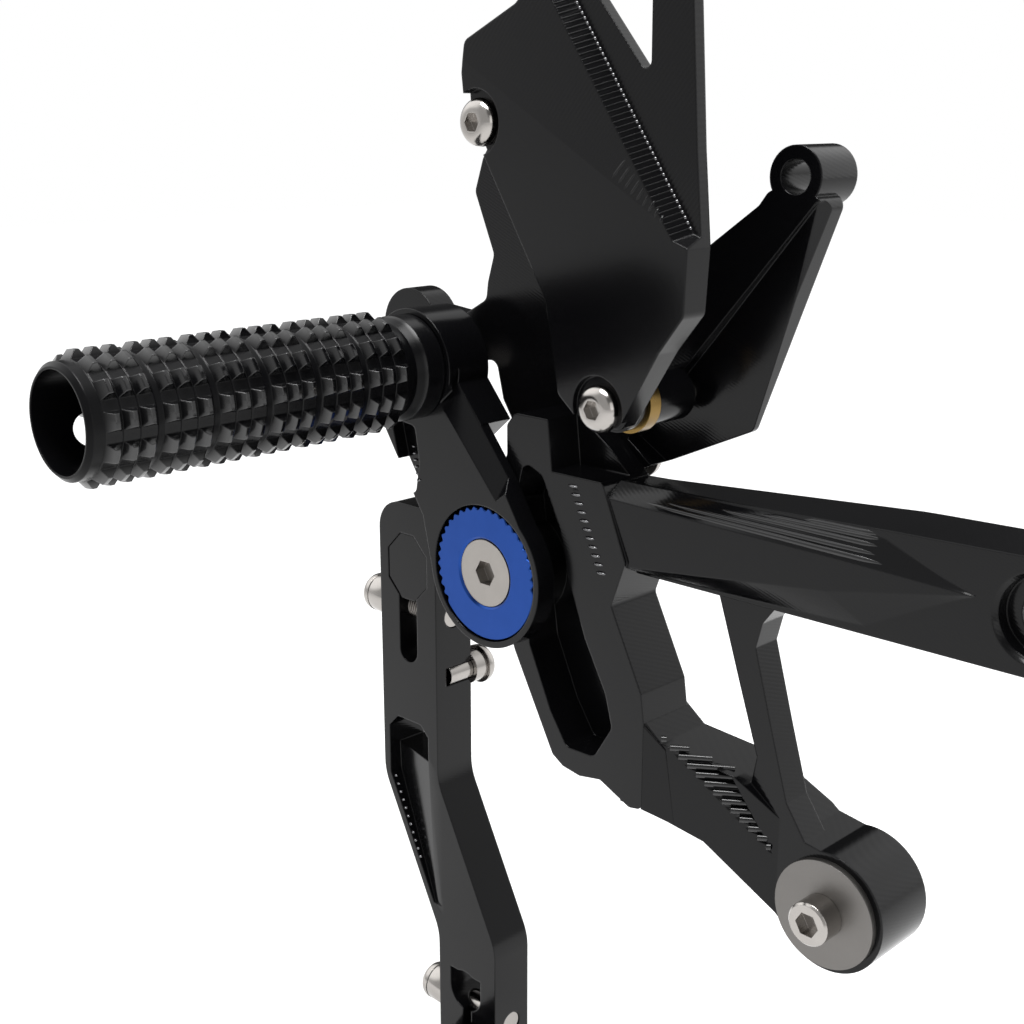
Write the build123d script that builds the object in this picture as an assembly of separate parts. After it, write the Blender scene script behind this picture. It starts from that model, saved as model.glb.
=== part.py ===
import math
import os

from build123d import *

os.makedirs("parts", exist_ok=True)

# Working frame while drawing: X along the bike, Y inboard, Z up, zero on the
# adjuster axis at the outboard face of the footrest arm. Everything is moved
# to the frame bore when it is written.
frame_bore_x = 134.5
frame_bore_z = 18.5
arm_tail_rear = 30.0

# stock and levels across the bike
slab_front = 6.0
slab_rear = 22.0
plate_thick = 8.0
plate_rear = slab_rear + plate_thick
running_gap = 0.3

# footrest arm and toothed adjuster
hub_r = 18.6
arm_rear = slab_front - running_gap
peg_x = -25.3
peg_z = 47.8
arm_end_r = 14.2
arm_boss_rear = 13.0
arm_bevel = 3.0
disc_r = 16.8
disc_tooth_depth = 0.9
disc_tooth_pitch = 9.0
disc_tooth_count = 25
disc_tooth_start = -6.0
disc_thick = 3.8
disc_recess = 0.4
disc_fit = 0.25
csk_head_r = 8.4
csk_depth = 3.9
m8_r = 3.95
m8_hole_r = 4.1

# footpeg
peg_r = 14.5
peg_core_r = 12.5
peg_root_r = 12.9
peg_neck_r = 11.6
peg_end = -95.0
peg_bands = 6
band_pitch = 13.6
band_width = 12.2
peg_first_band = -11.0
band_rings = 3
tooth_rows = 12
tooth_turn = 8.7
tooth_flat = 1.0
tooth_groove = 4.6
tooth_groove_floor = 2.4
peg_bore_r = 9.6
peg_bore_floor = -16.0

# lever
lever_front = 7.0
lever_rear = 19.5
lever_half = 10.9
pivot_x = -36.0
pivot_z = -7.9
lever_top = 9.3
oct_wide = 15.0
oct_tall = 18.0
oct_corner = 5.0
oct_fit = 0.1
slit_wide = 7.0
pinch_sleeve = 7.0
pinch_sleeve_r = 4.4
slit_bottom = -31.0
toe_x = -14.4
toe_z = -143.0
toe_r = 8.5
toe_length = 34.0
toe_shank_r = 5.0
keyhole_z = toe_z + 20.5
shaft_r = 6.0
bush_r = 8.0
bush_fit = 0.05
pivot_lug_r = 11.5
pivot_lug_front = 20.0
pivot_lug_rear = 33.0

# heel guard
guard_front = -6.0
guard_low = -1.5
guard_rear = 1.5
guard_crease = ((24.3, 106.2), (61.9, 85.0))
guard_fall = 2.2
guard_seats = (guard_front + 2.4, guard_front + 3.2)
guard_screws = ((4.4, 106.2), (40.0, 47.0))
guard_spacer_r = 6.0
guard_counterbore_r = 7.2
brass_start = guard_rear + 4.0
brass_length = 3.5

# small fasteners
m6_r = 2.95
m6_hole_r = 3.1
button_r = 5.25
button_h = 3.3
hex_r = 2.3

# lower frame boss
boss_x = 91.4
boss_z = -60.8
boss_r = 14.0
boss_front = 16.0
boss_rear = 34.0
washer_r = 12.5
washer_thick = 1.6
cap_r = 5.0
cap_h = 6.0
collar_r = 8.5
collar_thick = 5.0
lower_neck_r = 2.1
lower_thread_r = 2.5
lower_thread_length = 7.0
strut_thick = 8.0
ramp_corners = ((48.5, 7.3, -29.0), (67.0, 17.0, -35.8), (77.5, 15.85, -53.1))
ramp_ridge_count = 12
ramp_ridge = 1.0

# upper boss and lug on the carrier plate
upper_boss_x = 69.8
upper_boss_z = 95.8
upper_boss_r = 6.4
upper_bore_r = 3.6
upper_boss_rear = 35.0
lug_x = -50.0
lug_z = 52.5
lug_r = 10.5
lug_hole_r = 3.3


def face_xz(points, y):
    plane = Plane((0, y, 0), x_dir=(1, 0, 0), z_dir=(0, -1, 0))
    return plane * make_face(Polyline(points, close=True))


def prism(points, y0, y1, corner=0.0):
    flat = face_xz(points, y0)
    if corner > 0:
        flat = fillet(flat.vertices(), corner)
    return extrude(flat, y0 - y1)


def rounded_prism(points, radii, y0, y1):
    flat = face_xz(points, y0)
    for (x, z), r in zip(points, radii):
        if r > 0:
            corner = flat.vertices().sort_by_distance((x, y0, z))[0]
            flat = fillet(corner, r)
    return extrude(flat, y0 - y1)


def deck(points, z0, z1):
    flat = Plane((0, 0, z0)) * make_face(Polyline(points, close=True))
    return extrude(flat, z1 - z0)


def rod(x, z, r, y0, y1):
    return Pos(x, (y0 + y1) / 2, z) * Rot(90, 0, 0) * Cylinder(r, y1 - y0)


def taper(x, z, r0, r1, y0, y1):
    return Pos(x, (y0 + y1) / 2, z) * Rot(-90, 0, 0) * Cone(r0, r1, y1 - y0)


def hex_bar(x, z, r, y0, y1):
    plane = Plane((x, y0, z), x_dir=(1, 0, 0), z_dir=(0, -1, 0))
    return extrude(plane * RegularPolygon(r, 6), y0 - y1)


def octagon(wide, tall, cut):
    a = wide / 2
    b = tall / 2
    ring = [(-a, b - cut), (-a + cut, b), (a - cut, b), (a, b - cut)]
    ring += [(a, cut - b), (a - cut, -b), (cut - a, -b), (-a, cut - b)]
    return [(pivot_x + x, pivot_z + z) for x, z in ring]


def button_screw(length, shank_r=m6_r):
    # seat at the origin, head toward -Y, shank toward +Y
    dome = rod(0, 0, button_r, -button_h, 0)
    dome = fillet(dome.faces().sort_by(Axis.Y)[0].edges(), button_h * 0.82)
    dome -= hex_bar(0, 0, hex_r, -button_h, -button_h + 2.0)
    return dome + rod(0, 0, shank_r, -0.5, length)


def main_bracket():
    slab_line = [(-3, 22), (2.4, 29), (2.4, 36.5), (5, 39.6), (16, 39.6), (26, 33), (33, 27)]
    slab_line += [(40, 10), (36, -1), (45.5, -20), (46.5, -27)]
    slab_line += [(46.5, -48.5), (42.7, -49.2), (33.5, -45.2), (27, -46.4)]
    slab_line += [(21.5, -45.6), (18, -43.5), (5.1, -20), (-4, 2)]
    body = prism(slab_line, slab_front, slab_rear, 1.6)
    body -= prism([(15, 45), (17, 27.5), (45, 27.5), (45, 45)], slab_front - 1, slab_rear - 6)
    body += long_arm()
    body += lower_arm()
    body += strut()
    body += pivot_lug()
    channel = [(10, -17), (17, -32), (22.6, -40.2), (31.5, -40), (37, -31)]
    channel += [(34.8, -23), (28.2, -11), (23, 2), (20, 14), (14, 26), (8, 28.5), (5, 18)]
    body -= prism(channel, slab_front, slab_rear - 6, 2.5) - rod(0, 0, 13, 0, slab_rear)
    body -= rod(0, 0, m8_hole_r, 0, pivot_lug_rear + 1)
    body -= rod(frame_bore_x, frame_bore_z, 5.1, 0, 40)
    body -= rod(frame_bore_x, frame_bore_z, 8.2, 0, 16)
    body -= taper(frame_bore_x, frame_bore_z, 9.2, 8.2, 12, 13)
    body -= rod(boss_x, boss_z, m6_hole_r, 0, 60)
    body -= rod(pivot_x, pivot_z, bush_r, pivot_lug_front - 5, pivot_lug_rear + 5)
    for x, z in plate_screw_places:
        body -= rod(x, z, m6_hole_r, slab_rear - 5, slab_rear + 1)
    return body


plate_screw_places = ((7.5, 34.0), (24.0, 28.5))


def long_arm():
    side = [(18, 27), (29, 26.4), (104, 29.4), (frame_bore_x, frame_bore_z + 11.8)]
    side += [(frame_bore_x, frame_bore_z - 11.6), (43, 6.2), (20, 6)]
    plan = [(18, 11), (30, 12), (150, 12), (150, arm_tail_rear)]
    plan += [(100, arm_tail_rear), (40, slab_rear), (18, slab_rear)]
    bar = prism(side, 5, 35) + rod(frame_bore_x, frame_bore_z, 11.7, 5, 35)
    bar = bar & deck(plan, -40, 60)
    return bar + ridge()


def ridge():
    # raised wedge on the outboard side that dies out at the frame bore
    def lean(x):
        return slab_front + (x - 26) * 0.06

    top = [(24, 24.6), (90, 21.8), (121.5, 20.3), (90, 14.4), (38, 8.7)]
    foot = [(24, 27), (104, 28.6), (123, 20.2), (100, 7.4), (38, 6.4)]
    front = Face(Wire.make_polygon([(x, lean(x), z) for x, z in top], close=True))
    back = Face(Wire.make_polygon([(x, 12.4, z) for x, z in foot], close=True))
    return Solid.make_loft([front.outer_wire(), back.outer_wire()], True)


def lower_arm():
    side = [(40, -18), (46, -26.5), (50.3, -31.2), (67.5, -35.5), (82, -46)]
    side += [(boss_x + 6, boss_z + 12.6), (boss_x + 10, boss_z - 9.8), (boss_x - 9, boss_z - 9)]
    side += [(61, -53.2), (46.5, -48.5), (40, -48.4)]
    plan = [(36, slab_front), (44, slab_front), (78, boss_front), (120, boss_front)]
    plan += [(120, boss_rear), (80, boss_rear), (44, slab_rear), (36, slab_rear)]
    bar = prism(side, 0, 40) & deck(plan, -90, 0)
    bar = bar - ramp_room() + ramp_ridges(bar)
    return bar + rod(boss_x, boss_z, boss_r, boss_front, boss_rear)


def ramp_room():
    # everything in front of the sloping three-cornered ramp
    ramp = Face(Wire.make_polygon(ramp_corners, close=True))
    return extrude(ramp, 30, dir=(0, -1, 0))


def ramp_ridges(stock):
    top, side, low = [Vector(*corner) for corner in ramp_corners]
    normal = (side - top).cross(low - top).normalized()
    along = normal.cross(Vector(0, 0, 1)).normalized()
    out = []
    for k in range(ramp_ridge_count):
        share = (k + 0.7) / ramp_ridge_count
        plane = Plane(top + (low - top) * share, x_dir=along, z_dir=normal)
        ridge = plane * (Rot(45, 0, 0) * Box(60, ramp_ridge, ramp_ridge))
        out += (ridge & ramp_room() & stock).solids()
    return out


def strut():
    side = [(56, 14), (60, 2.4), (65.8, -14.8), (71.2, -30.4), (70, -37), (66, -40)]
    side += [(80, -58), (92, -54), (85.5, -47.5), (79.5, -38.8), (74.8, -23.3), (69.5, -5)]
    side += [(71, 1), (77, 9), (77, 14)]
    return prism(side, boss_front, boss_front + strut_thick)


def pivot_lug():
    web = [(pivot_x, pivot_z + 10.5), (2, 12), (14, 6), (14, -10), (pivot_x, pivot_z - 10.5)]
    lug = prism(web, pivot_lug_front, pivot_lug_rear)
    lug += rod(pivot_x, pivot_z, pivot_lug_r, pivot_lug_front, pivot_lug_rear)
    return lug


def carrier_plate():
    edge = [(-22, 97), (-24.8, 89), (-18.2, 74), (-20.4, 67), (-21, 62.6), (-30, 57.6)]
    edge += [(lug_x, lug_z + 7), (lug_x, lug_z - 6), (-28, 46.6), (-17.4, 47.6)]
    edge += [(-15, 38), (-7, 26), (12, 20.4), (35, 29.6), (57.5, 39.8), (77.4, 92)]
    edge += [(63.6, 93), (61, 89.6), (44.4, 77.6), (30, 92), (14, 116), (-2, 118), (-12, 112)]
    plate = prism(edge, slab_rear, plate_rear, 2.5)
    plate += rod(lug_x, lug_z, lug_r, slab_rear, plate_rear)
    plate += rod(upper_boss_x, upper_boss_z, upper_boss_r, slab_rear, upper_boss_rear)
    cut = [(58, 47), (72.6, 82), (66, 84.5), (35, 44)]
    plate -= prism(cut, slab_rear, slab_rear + 4, 1.5)
    plate -= rod(lug_x, lug_z, lug_hole_r, 0, 60)
    plate -= rod(upper_boss_x, upper_boss_z, upper_bore_r, 0, 60)
    for x, z in guard_screws:
        plate -= rod(x, z, m6_hole_r, 0, 60)
    for x, z in plate_screw_places:
        plate -= rod(x, z, m6_hole_r, 0, 60)
    return plate


def heel_guard():
    edge = [(16.9, 130.4), (1.3, 123.4), (0.2, 116.6), (0.8, 110), (5.5, 100.9)]
    edge += [(24.9, 69.1), (28.4, 48.7), (35.3, 43), (45.6, 42.9), (57.1, 60.9), (63.7, 69.1)]
    edge += [(64.5, 82.5), (62.7, 101.5), (60.7, 130), (58, 146), (50, 152), (36, 147)]
    guard = prism(edge, guard_front, guard_rear, 2.2)
    guard -= guard_step()
    guard -= guard_fall_cut()
    window = [(35, 132.5), (50.6, 114.5), (50.4, 139), (44, 142)]
    guard -= prism(window, guard_front - 1, guard_rear + 1, 1.5)
    for (x, z), seat in zip(guard_screws, guard_seats):
        guard -= rod(x, z, m6_hole_r, guard_front - 1, guard_rear + 1)
        guard -= rod(x, z, guard_counterbore_r, guard_front - 1, seat)
    return guard


def guard_fall_cut():
    # the lower field falls away from a slanting crease
    first, last = guard_crease
    along = Vector(last[0] - first[0], 0, last[1] - first[1]).normalized()
    plane = Plane((first[0], guard_front, first[1]), x_dir=along, z_dir=(0, -1, 0))
    return plane * (Rot(guard_fall, 0, 0) * Pos(0, -60, 5) * Box(240, 120, 10))


def guard_step():
    # stepped-down upper right field with a bevelled edge
    front = [(25.2, 133.7), (60.7, 83.9), (72, 80.2), (72, 162), (18, 162)]
    back = [(27, 135), (62.5, 85.2), (72, 82), (72, 162), (18, 162)]
    wires = []
    for line, y in ((front, guard_front), (back, guard_low)):
        wires.append(Wire.make_polygon([(x, y, z) for x, z in line], close=True))
    return Solid.make_loft(wires, True)


def peg_arm():
    left = [(-39, 44), (-38, 35), (-31.7, 25.6), (-21.5, 10.5), (-17.6, -6)]
    right = [(17.6, 6), (12.5, 13.8), (5.8, 24.4), (-13.1, 47.2), (-16.2, 53)]
    arm = prism(left + right, 0, arm_rear)
    arm += rod(0, 0, hub_r, 0, arm_rear)
    upper = [(-39, 44), (-38, 35), (-31, 24.5), (-14, 27), (-3.5, 36), (-13.1, 47.2), (-16.2, 53)]
    arm += prism(upper, 0, arm_boss_rear)
    arm += rod(peg_x, peg_z, arm_end_r, 0, arm_boss_rear)
    arm -= arm_bevel_cut()
    arm -= rod(0, 0, disc_r + disc_fit, -1, disc_recess + disc_thick)
    arm -= rod(0, 0, m8_hole_r + 0.2, -1, arm_rear + 1)
    pocket = [(-33, 34), (-29.5, 20), (-24.5, 13), (-22.5, 24), (-24, 33)]
    arm -= prism(pocket, -1, 3.6, 1.8)
    arm -= rod(peg_x, peg_z, m8_hole_r, -1, arm_boss_rear + 1)
    return arm


def arm_bevel_cut():
    # flat bevel along the front right edge, from the hub up to the footpeg
    front = [(-14.5, 40), (4.6, 19), (20, 30), (0, 52)]
    back = [(-13.1, 47.2), (5.8, 24.4), (20, 36), (0, 58)]
    wires = []
    for line, y in ((front, 0), (back, arm_bevel)):
        wires.append(Wire.make_polygon([(x, y, z) for x, z in line], close=True))
    return Solid.make_loft(wires, True)


def adjuster_disc():
    ring = []
    low = disc_r - disc_tooth_depth
    steps = 4
    total = int(360 / disc_tooth_pitch)
    for k in range(total):
        start = disc_tooth_start + k * disc_tooth_pitch
        toothed = k < disc_tooth_count
        for s in range(steps):
            a = math.radians(start + s * disc_tooth_pitch / steps)
            r = low if toothed and s >= steps / 2 else disc_r
            ring.append((r * math.cos(a), r * math.sin(a)))
    disc = prism(ring, disc_recess, disc_recess + disc_thick)
    disc -= taper(0, 0, csk_head_r + 0.7, m8_hole_r + 0.2, disc_recess, disc_recess + csk_depth + 0.2)
    disc -= rod(0, 0, m8_hole_r + 0.2, -1, 8)
    return disc


def adjuster_screw():
    head = taper(0, 0, csk_head_r, m8_r, disc_recess + 0.3, disc_recess + csk_depth)
    screw = head + rod(0, 0, m8_r, disc_recess + 1, slab_rear + 2)
    return screw - hex_bar(0, 0, 3.3, disc_recess, disc_recess + 3.2)


def footpeg():
    line = [(0, -running_gap), (peg_root_r, -running_gap), (peg_root_r, -5.5)]
    line += [(peg_neck_r, -8), (peg_core_r, peg_first_band)]
    ring = band_width / band_rings
    rise = (ring - tooth_flat) / 2
    for k in range(peg_bands):
        for j in range(band_rings):
            y = peg_first_band - 0.3 - k * band_pitch - j * ring
            line += [(peg_core_r, y), (peg_r, y - rise), (peg_r, y - rise - tooth_flat)]
        line += [(peg_core_r, y - ring)]
    line += [(peg_core_r, peg_end + 1), (peg_core_r - 1, peg_end), (0, peg_end)]
    half = make_face(Polyline([(r, y, 0) for r, y in line], close=True))
    body = Pos(peg_x, 0, peg_z) * revolve(half, Axis.Y)
    body -= tooth_grooves()
    body -= rod(peg_x, peg_z, peg_bore_r, peg_end - 1, peg_bore_floor)
    return body - rod(peg_x, peg_z, m8_hole_r, peg_end, 1)


def tooth_grooves():
    # lengthwise cuts that part the rings into rows of teeth
    low = peg_core_r + 0.15
    high = peg_r + 1
    floor = tooth_groove_floor / 2
    half = floor + (tooth_groove / 2 - floor) * (high - low) / (peg_r - low)
    line = [(low, -floor), (high, -half), (high, half), (low, floor)]
    cut = prism(line, peg_end - 1, peg_first_band)
    out = []
    for k in range(tooth_rows):
        turn = tooth_turn + k * 360 / tooth_rows
        out.append(Pos(peg_x, 0, peg_z) * Rot(0, turn, 0) * cut)
    return out


def footpeg_bolt():
    bolt = rod(peg_x, peg_z, 6.5, peg_bore_floor - 8, peg_bore_floor)
    bolt += rod(peg_x, peg_z, m8_r, peg_bore_floor - 1, arm_boss_rear)
    return bolt - hex_bar(peg_x, peg_z, 3.4, peg_bore_floor - 8, peg_bore_floor - 4)


def lever():
    left = pivot_x - lever_half
    right = pivot_x + lever_half
    end = 11.0
    knee = toe_z + 34
    line = [(left, lever_top), (right, lever_top), (right, -66), (toe_x + end, knee + 1)]
    line += [(toe_x + end, toe_z), (toe_x - end, toe_z), (toe_x - end, knee - 2), (left, -69.5)]
    bar = rounded_prism(line, (8, 3, 14, 14, 0, 0, 14, 14), lever_front, lever_rear)
    bar += rod(toe_x, toe_z, end, lever_front, lever_rear)
    grown = octagon(oct_wide + 2 * oct_fit, oct_tall + 2 * oct_fit, oct_corner)
    bar -= prism(grown, lever_front - 1, lever_rear + 1)
    bar -= slot(pivot_x, pivot_z, slit_bottom, slit_wide / 2)
    bar -= slot(toe_x - 0.6, keyhole_z + 2.6, keyhole_z - 2.6, 5.9)
    bar -= slot(toe_x, keyhole_z, toe_z, 1.6)
    bar -= rod(toe_x, toe_z, toe_shank_r + 0.1, 0, 30)
    bar -= rod(-33.2, -55, 2.7, 0, 30)
    groove = [(-44.5, -69), (-40.5, -70), (-24, -101), (-23.5, -106), (-26, -104)]
    bar -= prism(groove, lever_front - 1, lever_front + 3, 0.8)
    for x, z in pinch_places:
        bar -= cross_rod(x, z, m6_hole_r, -20, 24)
    return bar - rod(rod_bolt_x, rod_bolt_z, m6_hole_r, lever_rear - 9, lever_rear + 1)


def slot(x, z0, z1, r):
    low = min(z0, z1)
    high = max(z0, z1)
    cut = prism([(x - r, low), (x + r, low), (x + r, high), (x - r, high)], 0, 30)
    return cut + rod(x, low, r, 0, 30)


pinch_places = ((pivot_x, pivot_z - oct_tall / 2 - 3.5), (toe_x, toe_z + 10.4))
rod_bolt_x = -27.0
rod_bolt_z = -37.0
rod_sleeve = 4.0
lever_mid = (lever_front + lever_rear) / 2


def cross_rod(x, z, r, a, b):
    return Pos(x + (a + b) / 2, lever_mid, z) * Rot(0, 90, 0) * Cylinder(r, b - a)


def pinch_screws():
    out = []
    for x, z in pinch_places:
        screw = Rot(0, 0, -90) * button_screw(2 * lever_half + pinch_sleeve)
        out.append(Pos(x - lever_half - pinch_sleeve - 0.15, lever_mid, z) * screw)
    return out


def pinch_sleeves():
    out = []
    for x, z in pinch_places:
        ring = cross_rod(x, z, pinch_sleeve_r, -lever_half - pinch_sleeve - 0.1, -lever_half - 0.1)
        out.append(ring - cross_rod(x, z, m6_hole_r, -30, 30))
    return out


def lever_shaft():
    block = prism(octagon(oct_wide, oct_tall, oct_corner), lever_front + 0.2, lever_rear + 0.2)
    return block + rod(pivot_x, pivot_z, shaft_r, lever_rear - 1, pivot_lug_rear + 1.2) - rod(
        pivot_x, pivot_z, m6_hole_r, pivot_lug_rear - 12, pivot_lug_rear + 3
    )


def shaft_bushes():
    out = []
    for y0, y1 in ((pivot_lug_front, pivot_lug_front + 5), (pivot_lug_rear - 5, pivot_lug_rear)):
        ring = rod(pivot_x, pivot_z, bush_r - 0.02, y0, y1)
        out.append(ring - rod(pivot_x, pivot_z, shaft_r + bush_fit, y0 - 1, y1 + 1))
    return out


def shaft_keeper():
    seat = pivot_lug_rear + 1.25
    disc = rod(pivot_x, pivot_z, 9.0, seat, seat + 1.6)
    return disc - rod(pivot_x, pivot_z, m6_hole_r, seat - 1, seat + 3)


def keeper_screw():
    seat = pivot_lug_rear + 1.25 + 1.6 + 0.05
    return Pos(pivot_x, seat, pivot_z) * Rot(0, 0, 180) * button_screw(12)


def rod_bolt():
    seat = lever_rear + rod_sleeve + 0.1
    return Pos(rod_bolt_x, seat, rod_bolt_z) * Rot(0, 0, 180) * button_screw(8 + rod_sleeve)


def rod_spacer():
    ring = rod(rod_bolt_x, rod_bolt_z, 4.4, lever_rear + 0.05, lever_rear + rod_sleeve)
    return ring - rod(rod_bolt_x, rod_bolt_z, m6_hole_r, 0, 40)


def toe_peg():
    out = lever_front - 0.05
    peg = rod(toe_x, toe_z, toe_shank_r, out - 1, lever_rear + 1)
    line = [(0, out), (toe_r - 2, out), (toe_r - 0.6, out - 2)]
    grip = 6
    pitch = (toe_length - 6) / grip
    for k in range(grip):
        y = out - 3 - k * pitch
        line += [(toe_r - 0.9, y), (toe_r, y - 0.8), (toe_r, y - pitch + 1.8), (toe_r - 0.9, y - pitch + 1)]
    line += [(toe_r - 0.9, out - toe_length + 1), (toe_r - 2, out - toe_length), (0, out - toe_length)]
    half = make_face(Polyline([(r, y, 0) for r, y in line], close=True))
    return peg + Pos(toe_x, 0, toe_z) * revolve(half, Axis.Y)


def guard_screw_set():
    out = []
    for (x, z), seat in zip(guard_screws, guard_seats):
        out.append(Pos(x, seat - 0.05, z) * button_screw(plate_rear - seat))
    return out


def guard_spacers():
    first, second = guard_screws
    front = guard_rear + 0.05
    rear = slab_rear - 0.05
    runs = [(first, front, rear), (second, front, brass_start)]
    runs.append((second, brass_start + brass_length + 0.1, rear))
    out = []
    for (x, z), y0, y1 in runs:
        out.append(rod(x, z, guard_spacer_r, y0, y1) - rod(x, z, m6_hole_r, y0 - 1, y1 + 1))
    return out


def brass_bush():
    x, z = guard_screws[1]
    ring = rod(x, z, guard_spacer_r + 0.8, brass_start + 0.05, brass_start + brass_length + 0.05)
    return ring - rod(x, z, m6_hole_r, -5, 40)


def plate_screws():
    out = []
    for x, z in plate_screw_places:
        screw = Rot(0, 0, 180) * button_screw(plate_thick + 4)
        out.append(Pos(x, plate_rear + 0.05, z) * screw)
    return out


def lower_bolt():
    seat = boss_front - washer_thick - 0.1
    head = rod(boss_x, boss_z, cap_r, seat - cap_h, seat)
    head = chamfer(head.faces().sort_by(Axis.Y)[0].edges(), 0.5)
    head -= hex_bar(boss_x, boss_z, 2.9, seat - cap_h, seat - 3)
    shank_end = boss_rear + collar_thick
    head += rod(boss_x, boss_z, m6_r, seat - 1, shank_end - 2)
    head += rod(boss_x, boss_z, lower_neck_r, shank_end - 3, shank_end + 1)
    return head + rod(boss_x, boss_z, lower_thread_r, shank_end, shank_end + lower_thread_length)


def lower_washer():
    seat = boss_front - 0.05
    ring = rod(boss_x, boss_z, washer_r, seat - washer_thick, seat)
    return ring - rod(boss_x, boss_z, m6_hole_r + 0.1, 0, 40)


def frame_collar():
    ring = rod(boss_x, boss_z, collar_r, boss_rear + 0.05, boss_rear + collar_thick)
    return ring - rod(boss_x, boss_z, m6_hole_r, 0, 60)


def save(name, shape):
    shapes = shape if isinstance(shape, list) else [shape]
    home = Pos(-frame_bore_x, -arm_tail_rear, -frame_bore_z)
    placed = [home * solid for one in shapes for solid in one.solids()]
    export_step(placed[0] if len(placed) == 1 else Compound(placed), "parts/" + name + ".step")


save("main_bracket", main_bracket())
save("carrier_plate", carrier_plate())
save("heel_guard", heel_guard())
save("guard_spacers", guard_spacers())
save("brass_bush", brass_bush())
save("guard_screws", guard_screw_set())
save("plate_screws", plate_screws())
save("peg_arm", peg_arm())
save("adjuster_disc", adjuster_disc())
save("adjuster_screw", adjuster_screw())
save("footpeg", footpeg())
save("footpeg_bolt", footpeg_bolt())
save("lever", lever())
save("lever_shaft", lever_shaft())
save("shaft_bushes", shaft_bushes())
save("shaft_keeper", shaft_keeper())
save("keeper_screw", keeper_screw())
save("pinch_screws", pinch_screws())
save("pinch_sleeves", pinch_sleeves())
save("rod_bolt", rod_bolt())
save("rod_spacer", rod_spacer())
save("toe_peg", toe_peg())
save("lower_bolt", lower_bolt())
save("lower_washer", lower_washer())
save("frame_collar", frame_collar())
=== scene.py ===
import math

import bmesh
import bpy
from mathutils import Matrix, Vector
from mathutils.bvhtree import BVHTree


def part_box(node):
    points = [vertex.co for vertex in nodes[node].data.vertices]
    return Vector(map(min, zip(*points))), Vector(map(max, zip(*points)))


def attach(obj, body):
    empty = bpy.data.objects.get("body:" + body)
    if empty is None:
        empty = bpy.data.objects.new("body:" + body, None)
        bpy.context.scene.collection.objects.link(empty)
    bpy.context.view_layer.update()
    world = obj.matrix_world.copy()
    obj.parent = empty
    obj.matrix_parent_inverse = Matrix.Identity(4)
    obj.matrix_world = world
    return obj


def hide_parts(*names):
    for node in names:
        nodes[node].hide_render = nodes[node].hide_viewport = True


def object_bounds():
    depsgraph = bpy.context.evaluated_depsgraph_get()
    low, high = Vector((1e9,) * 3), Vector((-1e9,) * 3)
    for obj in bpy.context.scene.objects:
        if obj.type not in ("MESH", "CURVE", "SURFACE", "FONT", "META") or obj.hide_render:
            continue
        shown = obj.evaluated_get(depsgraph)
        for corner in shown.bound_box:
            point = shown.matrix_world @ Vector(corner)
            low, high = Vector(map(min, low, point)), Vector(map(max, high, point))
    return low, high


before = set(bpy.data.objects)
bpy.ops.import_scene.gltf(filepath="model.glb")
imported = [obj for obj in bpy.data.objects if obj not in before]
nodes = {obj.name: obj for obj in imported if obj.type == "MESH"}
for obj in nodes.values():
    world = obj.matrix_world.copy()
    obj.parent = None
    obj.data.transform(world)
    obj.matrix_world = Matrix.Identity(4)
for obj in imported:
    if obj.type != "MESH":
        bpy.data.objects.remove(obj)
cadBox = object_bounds()
mm = 0.001

cameraSet = {
    "place": (115.5, -270.8, 92.4),
    "right": (0.7083, 0.7059, 0.0),
    "up": (-0.187, 0.1876, 0.9643),
    "back": (0.6807, -0.683, 0.2649),
    "lens": 52.73,
    "sensor": 36.0,
    "pixels": 1024,
    "clip": (0.01, 50.0),
}

lightSet = {
    "top": {"place": (-0.05, -0.15, 0.95), "aim": (-0.1, 0.0, 0.0), "size": 0.55, "power": 15.0},
    "right": {"place": (0.85, -0.25, 0.3), "aim": (-0.1, 0.0, 0.0), "size": 0.6, "power": 1.4},
}
worldSet = {
    "light": 0.7,
    "cards": [
        {"toward": (0.68, -0.68, 0.26), "from": -0.3, "to": 0.5, "glow": -0.3},
        {"toward": (0.7, -0.1, 0.65), "from": 0.75, "to": 0.93, "glow": -0.5},
        {"toward": (-0.68, -0.24, 0.66), "from": 0.75, "to": 0.95, "glow": 1.1},
        {"toward": (-0.7, 0.72, 0.25), "from": 0.88, "to": 0.95, "glow": -0.95},
        {"toward": (0.25, 0.95, 0.3), "from": 0.8, "to": 0.96, "glow": 0.75},
    ],
}
floorSet = {
    "colour": (0.74, 0.74, 0.74),
    "roughness": 0.9,
    "size": 3.0,
    "under": 4 * mm,
    "glow": 0.7,
    "shaded": (0.5, 0.5, 0.5),
}

blackSet = {
    "colour": (0.0018, 0.0018, 0.0022),
    "worn": (0.0034, 0.0034, 0.0038),
    "roughness": (0.12, 0.2),
    "specular": 0.21,
    "grain": 900.0,
    "cloud": 38.0,
    "wear": (0.0, 0.5),
    "edge": 0.5 * mm,
    "bump": (0.12, 0.04 * mm),
}
guardField = {"from": (-0.1102, -0.036, 0.0877), "toward": (0.49, 0, 0.87), "soft": 4 * mm}
guardLines = {"across": (0.757, 0, -0.65), "pitch": 0.95 * mm, "deep": 1.1, "field": guardField}
guardSet = dict(blackSet, lines=guardLines)
bracketSet = dict(blackSet, lines={"across": (0.45, 0.3, 1), "pitch": 0.7 * mm, "deep": 0.6})
leverSet = dict(blackSet, lines={"across": (0.2, 0.3, 1), "pitch": 0.6 * mm, "deep": 0.4})
pegSet = dict(
    blackSet,
    edge=0.4 * mm,
    axis="footpeg",
    reach=(12.4 * mm, 14.2 * mm),
    # specular level falls from the tooth tips into the valleys: painted shade between the teeth; blur only sets
    # roughness
    shine=(0.1, 0.75),
    blur=(0.3, 0.1),
)
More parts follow.
